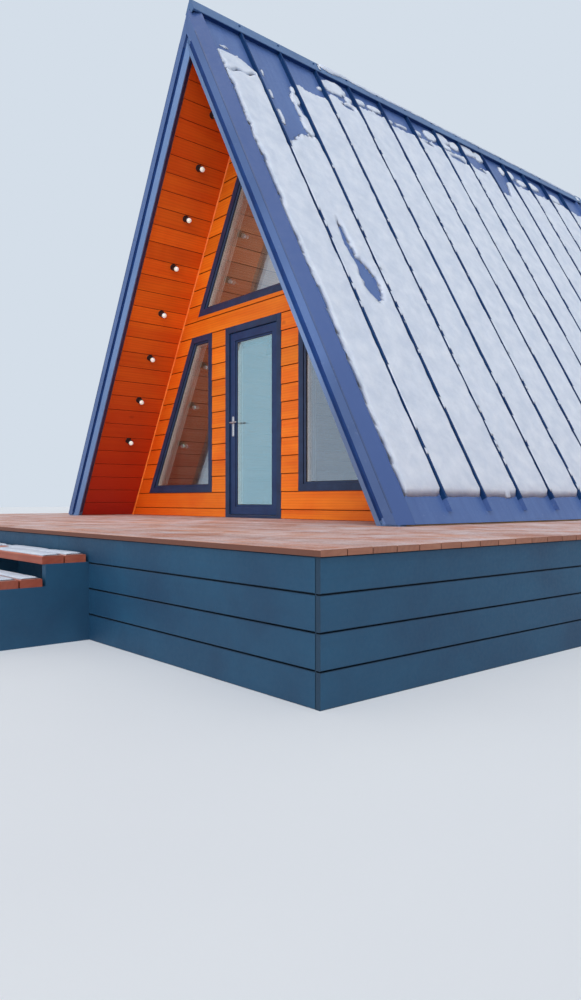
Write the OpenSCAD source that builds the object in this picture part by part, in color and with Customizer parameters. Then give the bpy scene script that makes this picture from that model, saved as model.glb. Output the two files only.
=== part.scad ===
// A-frame cabin on a timber deck, metal roof down to the deck, glazed gable under a deep overhang.
// X runs across the gables, Y from the porch steps to the rear, Z up from the ground.

/* [Deck] */
// Height of the deck boards above the ground
deck_height = 625; // [400:25:900]
// Width of the deck across the gables
deck_width = 8400; // [7200:100:10000]
// Depth of the deck in front of the front wall
porch_depth = 2940; // [1800:20:4200]
// Depth of the deck behind the rear wall
rear_walk = 1150; // [900:50:2400]
// Thickness of the deck boards
board_t = 28; // [20:1:45]
// Overhang of the deck boards past the skirt
board_nose = 20; // [5:5:50]
// Thickness of the skirt boards
skirt_t = 30; // [18:2:50]

/* [Underframe] */
// Depth of the joists
joist_h = 145; // [95:5:220]
// Thickness of the joists
joist_t = 45; // [35:5:75]
// Largest spacing of the joists
joist_pitch = 620; // [400:20:700]
// Depth of the bearers
bearer_h = 145; // [95:5:200]
// Width of the bearers
bearer_w = 90; // [60:5:150]
// Side of the square piers
pier_w = 140; // [90:10:250]

/* [Steps] */
// Number of risers from the ground to the deck
riser_count = 5; // [3:1:7]
// Going of each step
step_going = 260; // [220:10:350]
// Width of the flight
steps_width = 4400; // [1200:100:6000]
// Thickness of the treads
tread_t = 45; // [30:5:70]
// Gap between the two boards of a tread
tread_gap = 10; // [4:1:20]
// Number of stringers
stringer_count = 5; // [2:1:7]
// Thickness of a stringer
stringer_t = 50; // [30:5:80]

/* [Cabin] */
// Length of the cabin over both gable walls
cabin_length = 6000; // [4000:100:9000]
// Height of the porch ceiling peak above the deck
ceiling_peak = 4675; // [4000:25:6000]
// Slope of the roof in degrees
roof_pitch = 61.4; // [55:0.2:66]
// Thickness of the gable walls
wall_t = 200; // [120:10:300]
// Length of the loft from the front wall
loft_length = 2800; // [1500:50:5000]
// Thickness of the loft boards
loft_board_t = 25; // [18:1:40]
// Largest spacing of the loft joists
loft_joist_pitch = 550; // [400:10:700]
// Reach of the loft boards past the last joist
loft_nose = 5; // [0:1:30]

/* [Roof] */
// Overhang of the roof past each gable wall
overhang = 825; // [400:25:1200]
// Thickness of the ceiling and soffit boards
lining_t = 20; // [12:1:30]
// Thickness of the insulated roof panel
panel_t = 140; // [100:10:260]
// Thickness of the metal pans with their battens
pan_t = 16; // [6:1:40]
// Height of the standing seams
seam_h = 42; // [20:1:50]
// Width of a standing seam
seam_w = 14; // [8:1:30]
// Spacing of the standing seams
seam_pitch = 520; // [300:10:700]
// Distance of the first seam in front of the front wall
seam_first = 195; // [0:5:400]
// Reach of the ridge cap down each slope
ridge_flange = 150; // [120:10:300]
// Depth of the ridge cap's folded ends
ridge_end_h = 50; // [30:5:60]
// Distance of the ridge cap's ends behind the verge caps
ridge_end_set = 35; // [20:5:80]
// Thickness of the folded metal of ridge cap and eave trim
fold_t = 6; // [3:1:10]
// Height of the trim along the foot of the roof
eave_trim_h = 90; // [50:10:200]

/* [Verge] */
// Depth of the verge cap's face, front to back
cap_face_t = 25; // [15:1:40]
// Reach of the verge cap over the roof
cap_top_w = 135; // [90:5:200]
// Distance of the metal pans' edge behind the cap's face
pan_set = 40; // [40:5:60]
// Drop of the verge cap's fold below the metal pans
cap_fold_drop = 20; // [0:1:40]
// Height of the verge cap's face
cap_face_h = 103; // [80:1:150]
// Kick of the drip edge under the face
drip_w = 6; // [2:1:12]
// Thickness of the barge board behind the cap's face
barge_t = 80; // [40:5:120]
// Height of the slanted lip at the foot of the barge board
lip_h = 62; // [30:1:80]
// Drop of the lip below the soffit
lip_drop = 45; // [20:1:60]
// Distance of the lip behind the drip edge
lip_set = 11; // [5:1:20]
// Slant of the lip, front to back
lip_slant = 26; // [15:1:50]

/* [Windows and door] */
// Height of the side windows' sills above the deck
sill_z = 278; // [150:2:600]
// Height of the door head and side window heads above the deck
lintel_z = 2080; // [1900:10:2200]
// Height of the upper window's sill above the deck
upper_sill_z = 2300; // [2250:10:2500]
// Distance from the soffit to the slanted window edges
slope_margin = 245; // [150:5:350]
// Width of the door opening
door_w = 950; // [850:10:1100]
// Width of the piers between the door and the side windows
side_pier_w = 265; // [150:5:400]
// Width of the window frame bars
frame_w = 90; // [60:5:120]
// Width of the glazing beads inside the frame bars
bead_w = 20; // [10:2:30]
// Distance from the frame's face to the beads
bead_setback = 14; // [4:2:30]
// Depth of the frames across the wall
frame_depth = 97; // [60:1:120]
// Reach of the frames in front of the wall
frame_proud = 12; // [0:1:30]
// Thickness of the sealed glazing
glass_t = 24; // [6:2:44]
// Distance from the frame's face to the glass
glass_setback = 34; // [32:1:60]
// Thickness of the boards that line the window openings
reveal_t = 18; // [12:1:30]
// Reach of the lining boards past the wall's inner face
reveal_proud = 5; // [0:1:15]

/* [Door] */
// Width of the door frame's jambs and head
jamb_w = 70; // [50:5:90]
// Height of the threshold above the deck
threshold_h = 30; // [15:1:50]
// Gap between the leaf and its frame
leaf_gap = 5; // [4:0.5:8]
// Distance from the frame's face to the leaf's face
leaf_setback = 15; // [5:1:40]
// Width of the leaf's stiles and rails
stile_w = 105; // [85:5:140]
// Height of the door handle above the deck
handle_z = 1030; // [900:10:1150]
// Height of the handle's plate
handle_plate_h = 220; // [160:10:260]
// Width of the handle's plate
handle_plate_w = 34; // [28:1:45]
// Length of the lever
lever_l = 120; // [90:5:140]
// Radius of the hinge barrels
hinge_r = 9; // [7:0.5:12]
// Radius of the hinge pins
pin_r = 4; // [3:0.5:5]
// Height of one hinge
hinge_h = 100; // [70:5:140]
// Distance of the end hinges from the leaf's ends
hinge_inset = 250; // [150:10:400]
// Running clearance round a hinge pin
pin_clearance = 0.08; // [0.05:0.01:0.3]

/* [Soffit lights] */
// Distance of the first light from the ceiling peak along the slope
light_start = 505; // [300:5:800]
// Spacing of the lights along the slope
light_pitch = 538; // [360:2:800]
// Number of lights on each soffit
light_count = 8; // [1:1:8]
// Distance of the lights in front of the wall
light_reach = 350; // [150:10:500]
// Radius of a light's holder
holder_r = 30; // [15:1:40]
// Height of a light's holder
holder_h = 66; // [25:1:80]
// Radius of a light's globe
globe_r = 27; // [18:1:45]

/* [Hidden] */

round_fn = 48;
globe_fn = 24;
mitre_gap = 1;
seat_gap = 0.3;
tan_p = tan(roof_pitch);
cos_p = cos(roof_pitch);
sin_p = sin(roof_pitch);

// Distances outwards from the soffit plane, square to the slope
panel_d = lining_t;
pan_d = panel_d + panel_t;
top_d = pan_d + pan_t;
seam_d = top_d + seam_h;
ridge_d = seam_d + seat_gap + fold_t;
fold_d = top_d - cap_fold_drop;
drip_d = fold_d - cap_face_h;

// Heights
deck_z = deck_height;
deck_under_z = deck_z - board_t;
joist_z = deck_under_z - joist_h;
bearer_z = joist_z - bearer_h;
peak_z = deck_z + ceiling_peak;
head_z = deck_z + lintel_z;
side_sill_z = deck_z + sill_z;
top_sill_z = deck_z + upper_sill_z;
loft_gap = 40;
loft_z = top_sill_z - loft_gap;
loft_joist_h = loft_z - loft_board_t - head_z;

// Places along the deck, with the front wall's face at zero
steps_run = (riser_count - 1) * step_going;
front_y = -porch_depth - steps_run;
rear_y = cabin_length + rear_walk;
mid_y = (front_y + rear_y) / 2;
verge_front_y = -overhang;
barge_face_y = verge_front_y + cap_face_t;
cap_back_y = verge_front_y + cap_top_w;
pan_front_y = barge_face_y + pan_set;
ridge_front_y = verge_front_y + ridge_end_set;
soffit_front_y = barge_face_y + barge_t;

deck_half = deck_width / 2;
skirt_x = deck_half - board_nose;
skirt_front_y = -porch_depth + board_nose;
skirt_rear_y = rear_y - board_nose;
foot_margin = 30;
foot_clearance = 12;
seam_top_x = 30;
floor_half = ceil(slope_x(top_d, deck_z) + foot_margin);
riser_h = deck_height / riser_count;

// Door
door_half = door_w / 2;
window_x = door_half + side_pier_w;
frame_back_y = frame_depth - frame_proud;
leaf_half = door_half - jamb_w - leaf_gap;
leaf_front_y = leaf_setback - frame_proud;
leaf_bottom_z = deck_z + threshold_h + leaf_gap;
leaf_top_z = head_z - jamb_w - leaf_gap;
hinge_plate_t = 4;
hinge_plate_w = 42;
hinge_x = leaf_half + leaf_gap / 2;
hinge_y = frame_back_y + hinge_r + hinge_plate_t / 2;
hinge_levels = [
    leaf_bottom_z + hinge_inset,
    (leaf_bottom_z + leaf_top_z) / 2,
    leaf_top_z - hinge_inset
];
knuckle_gap = 0.3;

// Half width of the plane at distance d from the soffit, at height z
function slope_x(d, z) = (peak_z + d / cos_p - z) / tan_p;

// Height of that plane at the mitre, x from the middle
function slope_z(d, x) = peak_z + d / cos_p - x * tan_p;

// Extrudes an outline drawn in X and Z from y0 to y1
module along(y0, y1) {
    translate([0, y1, 0])
        rotate([90, 0, 0])
            linear_extrude(height = y1 - y0)
                children();
}

// Outline of the layer between distances d0 and d1 on the right slope, down to height z
module layer(d0, d1, z, x0 = 0) {
    polygon([
        [x0, slope_z(d0, x0)],
        [x0, slope_z(d1, x0)],
        [slope_x(d1, z), z],
        [slope_x(d0, z), z]
    ]);
}

module block(x0, x1, y0, y1, z0, z1) {
    translate([x0, y0, z0])
        cube([x1 - x0, y1 - y0, z1 - z0]);
}

module mirror_if(flip) {
    mirror([flip ? 1 : 0, 0, 0])
        children();
}

module both_sides() {
    for (flip = [false, true])
        mirror_if(flip)
            children();
}

// Turns the front gable's pieces round for the rear gable
module at_rear() {
    translate([0, cabin_length, 0])
        mirror([0, 1, 0])
            children();
}

// Moves the cabin so that the middle of its base lies at the origin
module placed() {
    translate([0, -mid_y, 0])
        children();
}

// Outline of the gable between two heights, up to just under the soffit
module gable_outline(z0, z1) {
    top = min(z1, peak_z - seat_gap / cos_p);
    polygon([
        [-slope_x(-seat_gap, z0), z0],
        [slope_x(-seat_gap, z0), z0],
        [slope_x(-seat_gap, top), top],
        [-slope_x(-seat_gap, top), top]
    ]);
}

// Outline of a right side window, drawn in by inset on every side
module side_window(inset = 0) {
    d = -slope_margin - inset;
    polygon([
        [window_x + inset, side_sill_z + inset],
        [slope_x(d, side_sill_z + inset), side_sill_z + inset],
        [slope_x(d, head_z - inset), head_z - inset],
        [window_x + inset, head_z - inset]
    ]);
}

// Outline of the upper window, drawn in by inset on every side
module upper_window(inset = 0) {
    d = -slope_margin - inset;
    z = top_sill_z + inset;
    polygon([
        [-slope_x(d, z), z],
        [slope_x(d, z), z],
        [0, slope_z(d, 0)]
    ]);
}

module skirt_side() {
    block(skirt_x - skirt_t, skirt_x, skirt_front_y, skirt_rear_y, 0, deck_under_z);
}

module skirt_end(y) {
    block(-skirt_x + skirt_t, skirt_x - skirt_t, y, y + skirt_t, 0, deck_under_z);
}

module skirt_front() color("steelblue") placed() skirt_end(skirt_front_y);

module skirt_rear() color("steelblue") placed() skirt_end(skirt_rear_y - skirt_t);

module skirt_right() color("steelblue") placed() skirt_side();

module skirt_left() color("steelblue") placed() mirror_if(true) skirt_side();

// Under the deck
frame_x = skirt_x - skirt_t;
frame_y0 = skirt_front_y + skirt_t;
frame_y1 = skirt_rear_y - skirt_t;
joist_gaps = ceil((frame_y1 - frame_y0 - joist_t) / joist_pitch);
bearer_xs = [for (i = [-2:2]) i * (frame_x - bearer_w) / 2];
pier_ys = [for (i = [0:4]) frame_y0 + pier_w / 2 + i * (frame_y1 - frame_y0 - pier_w) / 4];

module floor_joists() {
    color("burlywood") placed()
        for (i = [0:joist_gaps]) {
            y = frame_y0 + i * (frame_y1 - frame_y0 - joist_t) / joist_gaps;
            block(-frame_x, frame_x, y, y + joist_t, joist_z, deck_under_z);
        }
}

module base_bearers() {
    color("burlywood") placed()
        for (x = bearer_xs)
            block(x - bearer_w / 2, x + bearer_w / 2, frame_y0, frame_y1, bearer_z, joist_z);
}

module base_piers() {
    color("gray") placed()
        for (x = bearer_xs, y = pier_ys)
            block(x - min(pier_w, bearer_w) / 2, x + min(pier_w, bearer_w) / 2,
                  y - pier_w / 2, y + pier_w / 2, 0, bearer_z);
}

module deck_front() {
    color("salmon") placed()
        block(-deck_half, deck_half, -porch_depth, 0, deck_under_z, deck_z);
}

module deck_rear() {
    color("salmon") placed()
        block(-deck_half, deck_half, cabin_length, rear_y, deck_under_z, deck_z);
}

module deck_side() {
    block(floor_half, deck_half, 0, cabin_length, deck_under_z, deck_z);
}

module deck_right() color("salmon") placed() deck_side();

module deck_left() color("salmon") placed() mirror_if(true) deck_side();

module cabin_floor() {
    color("tan") placed()
        block(-floor_half, floor_half, 0, cabin_length, deck_under_z, deck_z);
}

// Steps
module stringer_side() {
    polygon(concat(
        [[0, 0], [0, deck_z - riser_h - tread_t]],
        [for (k = [1:riser_count - 1]) each [
            [k * step_going, deck_z - k * riser_h - tread_t],
            [k * step_going, k < riser_count - 1 ? deck_z - (k + 1) * riser_h - tread_t : 0]
        ]]
    ));
}

module step_stringers() {
    step = (steps_width - stringer_t) / (stringer_count - 1);
    color("steelblue") placed()
        for (i = [0:stringer_count - 1])
            translate([-steps_width / 2 + i * step, skirt_front_y, 0])
                mirror([0, 1, 0])
                    rotate([90, 0, 90])
                        linear_extrude(height = stringer_t)
                            stringer_side();
}

module step_treads() {
    board_w = (step_going - tread_gap) / 2;
    color("orangered") placed()
        for (k = [1:riser_count - 1], i = [0, 1]) {
            y = -porch_depth - k * step_going + i * (board_w + tread_gap);
            top = deck_z - k * riser_h;
            block(-steps_width / 2, steps_width / 2, y, y + board_w, top - tread_t, top);
        }
}

// Loft
module loft_floor() {
    color("tan") placed()
        along(wall_t, wall_t + loft_length)
            gable_outline(loft_z - loft_board_t, loft_z);
}

module loft_joists() {
    reach = loft_length - loft_nose - joist_t;
    gaps = ceil(reach / loft_joist_pitch);
    color("burlywood") placed()
        for (i = [0:gaps]) {
            y = wall_t + i * reach / gaps;
            along(y, y + joist_t)
                gable_outline(loft_z - loft_board_t - loft_joist_h, loft_z - loft_board_t);
        }
}

// Gable walls
module wall_right_of_door() {
    along(0, wall_t)
        difference() {
            polygon([
                [door_half, deck_z],
                [slope_x(-seat_gap, deck_z), deck_z],
                [slope_x(-seat_gap, head_z), head_z],
                [door_half, head_z]
            ]);
            side_window();
        }
}

module upper_wall() {
    along(0, wall_t)
        difference() {
            gable_outline(head_z, peak_z);
            upper_window();
        }
}

module front_wall_right() color("darkorange") placed() wall_right_of_door();

module front_wall_left() color("darkorange") placed() mirror_if(true) wall_right_of_door();

module front_wall_upper() color("darkorange") placed() upper_wall();

module rear_wall_upper() color("darkorange") placed() at_rear() upper_wall();

module rear_wall_lower() {
    color("darkorange") placed() at_rear()
        along(0, wall_t)
            difference() {
                gable_outline(deck_z, head_z);
                both_sides() side_window();
            }
}

// Roof
module roof_lining() {
    along(soffit_front_y, cabin_length - soffit_front_y)
        layer(0, panel_d, deck_z);
}

module roof_panel() {
    along(soffit_front_y, cabin_length - soffit_front_y)
        layer(panel_d, pan_d, deck_z);
}

// Metal pans with their standing seams, which run up under the ridge cap
module roof_sheet() {
    foot = deck_z + foot_clearance;
    seam_foot = foot + eave_trim_h;
    last = cabin_length - cap_back_y - seam_w;
    union() {
        along(pan_front_y, cabin_length - pan_front_y)
            layer(pan_d, top_d, foot);
        for (y = [-seam_first : seam_pitch : last])
            along(y - seam_w / 2, y + seam_w / 2)
                layer(pan_d, seam_d, seam_foot, seam_top_x);
    }
}

module roof_lining_right() color("sienna") placed() roof_lining();

module roof_lining_left() color("sienna") placed() mirror_if(true) roof_lining();

module roof_panel_right() color("wheat") placed() roof_panel();

module roof_panel_left() color("wheat") placed() mirror_if(true) roof_panel();

module roof_sheet_right() color("slategray") placed() roof_sheet();

module roof_sheet_left() color("slategray") placed() mirror_if(true) roof_sheet();

// Folded cap that lies over the seams at the ridge, with its ends turned down on the verge caps
module ridge_cap() {
    color("slategray") placed()
        union() {
            along(ridge_front_y, cabin_length - ridge_front_y)
                both_sides() flange_outline(fold_t);
            for (y = [ridge_front_y, cabin_length - ridge_front_y - fold_t])
                along(y, y + fold_t)
                    both_sides() flange_outline(ridge_end_h);
        }
}

// Right half of the ridge cap's section, t deep
module flange_outline(t) {
    top = slope_z(ridge_d, 0);
    x = ridge_flange * cos_p;
    z = top - ridge_flange * sin_p;
    polygon([
        [0, top - t / cos_p],
        [0, top],
        [x, z],
        [x - t * sin_p, z - t * cos_p]
    ]);
}

module eave_trims() {
    foot = deck_z + foot_clearance;
    color("slategray") placed()
        both_sides()
            along(cap_back_y, cabin_length - cap_back_y)
                intersection() {
                    layer(top_d + seat_gap, top_d + fold_t, foot);
                    translate([0, foot])
                        square([deck_half, eave_trim_h]);
                }
}

// Extrudes an outline down the right slope to height z. It is drawn along Y and square to the soffit.
module down_slope(z) {
    reach = peak_z / sin_p;
    intersection() {
        translate([0, 0, peak_z])
            rotate([0, roof_pitch, 0])
                rotate([90, 0, 90])
                    translate([0, 0, -reach / 4])
                        linear_extrude(height = reach * 5 / 4)
                            children();
        block(mitre_gap, deck_half, verge_front_y - cap_face_t, 0, z, slope_z(ridge_d, 0));
    }
}

// Verge: the cap's face with its drip edge, and its flange that rises to the level of the seams
module verge_cap() {
    face_y = verge_front_y + drip_w;
    down_slope(deck_z + foot_clearance)
        polygon([
            [verge_front_y, drip_d],
            [face_y, drip_d + 2 * drip_w],
            [face_y, fold_d],
            [cap_back_y, seam_d],
            [cap_back_y, top_d + seat_gap],
            [pan_front_y, top_d + seat_gap],
            [pan_front_y, pan_d],
            [barge_face_y, pan_d],
            [barge_face_y, drip_d]
        ]);
}

// Barge board with a slanted lip below the dark groove under the cap's face
module barge_board() {
    lip_y = verge_front_y + lip_set;
    down_slope(deck_z)
        polygon([
            [barge_face_y, pan_d - seat_gap],
            [barge_face_y, lip_h - lip_drop],
            [lip_y, lip_h - lip_drop],
            [lip_y + lip_slant, -lip_drop],
            [soffit_front_y, 0],
            [soffit_front_y, pan_d - seat_gap]
        ]);
}

module verge_caps_front() color("steelblue") placed() both_sides() verge_cap();

module verge_caps_rear() color("steelblue") placed() at_rear() both_sides() verge_cap();

module barge_boards_front() color("lightsteelblue") placed() both_sides() barge_board();

module barge_boards_rear() color("lightsteelblue") placed() at_rear() both_sides() barge_board();

// The three panes of a gable, drawn in by inset on every side
module panes(inset = 0) {
    both_sides() side_window(inset);
    upper_window(inset);
}

// Windows: frame bars with a bead set back round each pane
module window_frames() {
    along(-frame_proud, frame_back_y)
        difference() {
            panes();
            panes(frame_w - bead_w);
        }
    along(bead_setback - frame_proud, frame_back_y)
        difference() {
            panes(frame_w - bead_w);
            panes(frame_w);
        }
}

module window_glass() {
    y = glass_setback - frame_proud;
    along(y, y + glass_t)
        panes(frame_w);
}

// Boards round the window openings, from the frames to the room
module window_linings() {
    along(frame_back_y, wall_t + reveal_proud)
        difference() {
            panes(seat_gap);
            panes(reveal_t);
        }
}

module front_window_frames() color("midnightblue") placed() window_frames();

module front_window_glass() color("lightblue", 0.4) placed() window_glass();

module front_window_linings() color("tan") placed() window_linings();

module rear_window_frames() color("midnightblue") placed() at_rear() window_frames();

module rear_window_glass() color("lightblue", 0.4) placed() at_rear() window_glass();

module rear_window_linings() color("tan") placed() at_rear() window_linings();

// Door
module door_frame() {
    color("midnightblue") placed()
        along(-frame_proud, frame_back_y)
            difference() {
                translate([-door_half, deck_z + threshold_h])
                    square([door_w, lintel_z - threshold_h]);
                translate([-door_half + jamb_w, deck_z])
                    square([door_w - 2 * jamb_w, lintel_z - jamb_w]);
            }
}

module door_threshold() {
    color("midnightblue") placed()
        block(-door_half, door_half, -frame_proud, wall_t, deck_z, deck_z + threshold_h);
}

module leaf_outline(inset = 0) {
    translate([-leaf_half + inset, leaf_bottom_z + inset])
        square([2 * (leaf_half - inset), leaf_top_z - leaf_bottom_z - 2 * inset]);
}

// Stiles and rails round one pane, with a bead set back round it
module door_leaf() {
    bead_y = leaf_front_y + bead_setback;
    color("midnightblue") placed()
        union() {
            along(leaf_front_y, frame_back_y)
                difference() {
                    leaf_outline();
                    leaf_outline(stile_w - bead_w);
                }
            along(bead_y, frame_back_y)
                difference() {
                    leaf_outline(stile_w - bead_w);
                    leaf_outline(stile_w);
                }
        }
}

module door_glass() {
    y = leaf_front_y + glass_setback - bead_setback;
    color("lightblue", 0.4) placed()
        along(y, y + glass_t)
            leaf_outline(stile_w);
}

// Lever on a long plate, drawn for the outside of the leaf
module door_lever() {
    plate_t = 8;
    plate_below = 0.68;
    neck_r = 9;
    neck_l = 48;
    lever_r = 9;
    union() {
        translate([-handle_plate_w / 2, -plate_t, -plate_below * handle_plate_h])
            cube([handle_plate_w, plate_t, handle_plate_h]);
        rotate([90, 0, 0])
            cylinder(r = neck_r, h = neck_l, $fn = round_fn);
        translate([-neck_r, -neck_l, 0])
            rotate([0, 90, 0])
                cylinder(r = lever_r, h = lever_l, $fn = round_fn);
    }
}

module door_handle() {
    x = -leaf_half + stile_w / 2;
    z = deck_z + handle_z;
    color("silver") placed() {
        translate([x, leaf_front_y, z])
            door_lever();
        translate([x, frame_back_y, z])
            mirror([0, 1, 0])
                door_lever();
    }
}

// Lower half of a hinge on the frame, with the pin that carries the leaf
module hinge_pins() {
    half = hinge_h / 2;
    color("silver") placed()
        for (z = hinge_levels)
            translate([hinge_x, hinge_y, z]) {
                translate([0, 0, -half])
                    cylinder(r = hinge_r, h = half, $fn = round_fn);
                cylinder(r = pin_r, h = half, $fn = round_fn);
                translate([0, 0, -half])
                    linear_extrude(height = half)
                        hinge_web(1);
            }
}

// Upper half of a hinge on the leaf
module hinge_knuckles() {
    half = hinge_h / 2;
    color("silver") placed()
        for (z = hinge_levels)
            translate([hinge_x, hinge_y, z + knuckle_gap])
                linear_extrude(height = half - knuckle_gap)
                    difference() {
                        union() {
                            circle(r = hinge_r, $fn = round_fn);
                            hinge_web(-1);
                        }
                        circle(r = pin_r + pin_clearance, $fn = round_fn);
                    }
}

module hinge_web(side) {
    y0 = frame_back_y - hinge_y;
    x0 = side > 0 ? 0 : -hinge_plate_w;
    difference() {
        translate([x0, y0])
            square([hinge_plate_w, hinge_plate_t]);
        circle(r = pin_r + pin_clearance, $fn = round_fn);
    }
}

// Soffit lights
module on_soffit() {
    for (flip = [false, true], i = [0:light_count - 1]) {
        s = light_start + i * light_pitch;
        mirror_if(flip)
            translate([s * cos_p, -light_reach, peak_z - s * sin_p])
                rotate([0, 180 + roof_pitch, 0])
                    children();
    }
}

module soffit_light_holders() {
    color("black") placed()
        on_soffit()
            translate([0, 0, seat_gap])
                cylinder(r = holder_r, h = holder_h - seat_gap, $fn = round_fn);
}

// Globes, sunk into their holders by the flat that they are cut to
module soffit_light_globes() {
    sink = globe_r / 3;
    color("white") placed()
        on_soffit()
            translate([0, 0, holder_h])
                intersection() {
                    translate([0, 0, globe_r - sink])
                        sphere(r = globe_r, $fn = globe_fn);
                    cylinder(r = 2 * globe_r, h = 2 * globe_r, $fn = round_fn);
                }
}

skirt_front();
skirt_rear();
skirt_left();
skirt_right();
base_piers();
base_bearers();
floor_joists();
deck_front();
deck_rear();
deck_left();
deck_right();
step_stringers();
step_treads();
cabin_floor();
loft_joists();
loft_floor();
front_wall_left();
front_wall_right();
front_wall_upper();
rear_wall_lower();
rear_wall_upper();
roof_lining_left();
roof_lining_right();
roof_panel_left();
roof_panel_right();
roof_sheet_left();
roof_sheet_right();
ridge_cap();
eave_trims();
verge_caps_front();
verge_caps_rear();
barge_boards_front();
barge_boards_rear();
front_window_frames();
front_window_glass();
front_window_linings();
rear_window_frames();
rear_window_glass();
rear_window_linings();
door_frame();
door_threshold();
hinge_pins();
door_leaf();
door_glass();
door_handle();
hinge_knuckles();
soffit_light_holders();
soffit_light_globes();
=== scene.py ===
import math
import random

import bmesh
import bpy
import mathutils
import numpy as np
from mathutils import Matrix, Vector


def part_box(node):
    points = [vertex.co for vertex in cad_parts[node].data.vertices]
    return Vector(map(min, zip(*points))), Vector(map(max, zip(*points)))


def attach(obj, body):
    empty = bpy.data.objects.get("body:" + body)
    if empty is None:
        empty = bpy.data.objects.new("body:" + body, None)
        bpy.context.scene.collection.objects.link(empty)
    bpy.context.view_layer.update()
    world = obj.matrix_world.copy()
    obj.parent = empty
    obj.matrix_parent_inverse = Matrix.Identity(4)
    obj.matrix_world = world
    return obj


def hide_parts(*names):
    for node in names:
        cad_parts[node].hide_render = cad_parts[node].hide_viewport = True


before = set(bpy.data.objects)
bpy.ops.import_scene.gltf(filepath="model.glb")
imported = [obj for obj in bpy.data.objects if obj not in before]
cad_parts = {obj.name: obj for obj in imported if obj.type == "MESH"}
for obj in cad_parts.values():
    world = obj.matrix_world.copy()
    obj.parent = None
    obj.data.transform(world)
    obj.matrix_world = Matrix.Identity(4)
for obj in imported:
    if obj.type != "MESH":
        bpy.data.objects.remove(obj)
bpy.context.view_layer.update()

scene = bpy.context.scene
scene.view_settings.view_transform = "Standard"

# Sizes from the CAD model, in metres. Along the cabin they count from the front gable's face,
# down a slope from the soffit's peak, and across a slope outwards from the soffit.
Y0 = -1.585  # front gable's face in the frame
LENGTH = 6
WALL = 0.2
DECK = 0.625
SKIRT_TOP = 0.597
DECK_X, DECK_FRONT, DECK_REAR = 4.2, -2.94, 7.15
DECK_PITCH = 0.147  # from board to board, nearly
SKIRT_IN = 0.048  # from the deck's edge to the skirt's face
STEP_X, STEP_RUN, STEP_RISE, STEPS = 2.2, 0.26, 0.125, 4
BOARD, BOARD_PITCH = 0.125, 0.135  # the two boards of a tread
PEAK = 5.3
PITCH = math.radians(61.4)
C, S, T = math.cos(PITCH), math.sin(PITCH), math.tan(PITCH)
SOFFIT_Y = -0.72
VERGE_Y = -0.825
CAP_Y, CAP_SEAT_Y = -0.788, -0.755  # ends of the ridge cap and of its seat on the verge caps
TOP_D, RIDGE_D = 0.176, 0.2243  # tops of the pans and of the ridge cap
CAP_TOP = -RIDGE_D * T  # the ridge line, counted down the cap's slope
CAP_EDGE = CAP_TOP + 0.15
SEAMS = [-0.195 + 0.52 * n for n in range(13)]
COURSE = 0.18
FIRST_COURSE = 0.098
HEAD, SILL, TOP_SILL = 2.705, 0.903, 2.925
MARGIN = 0.245  # from the slopes to the windows
WINDOW_X = 0.74  # inner edge of the side windows
JAMB_X = 0.475  # outer edge of the door frame
LEAF_X, LEAF_LOW, LEAF_HIGH = 0.4, 0.66, 2.63
OPENING_X = 0.405  # half width of the door's opening
SIDES = ((1, "right"), (-1, "left"))
ENDS = (("front", False), ("rear", True))
CORNERS = [(rear, side) for rear in (False, True) for side in (1, -1)]


def half(d, z):
    """Half width, at height z, of the plane d outside the soffit."""
    return (PEAK + d / C - z) / T


def foot(gap):
    """Place down the slope that lies gap above the deck."""
    return (PEAK - DECK - gap) / S


def from_end(y, rear):
    """Counts y from the front gable's face, or likewise from the rear one's."""
    return LENGTH - y if rear else y


def on_slope(side):
    """Maps along the ridge, down the slope and outwards from the soffit to the frame's axes."""
    return lambda u, v, w: (side * (v * C + w * S), Y0 + u, PEAK - v * S + w * C)


def on_gable(rear=False):
    """Maps across the gable, up it and out of its face."""
    if rear:
        return lambda u, v, w: (u, Y0 + LENGTH + w, v)
    return lambda u, v, w: (u, Y0 - w, v)


def on_deck(u, v, w):
    """Maps across the deck, towards the rear and up."""
    return u, Y0 + v, w


def turn(n):
    """Angles of n points round a circle."""
    return [2 * math.pi * j / n for j in range(n)]


def circle(centre, r, side, up, n):
    """Points round a centre, in the plane of two unit vectors."""
    return [tuple(centre + r * (math.cos(a) * side + math.sin(a) * up)) for a in turn(n)]


def stretches(ends):
    return list(zip(ends[:-1], ends[1:]))


def mirrored(part, total):
    """A symmetrical section from its near half; total is the sum of its two edges."""
    return part + [(total - v, w) for v, w in part[::-1]]


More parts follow.
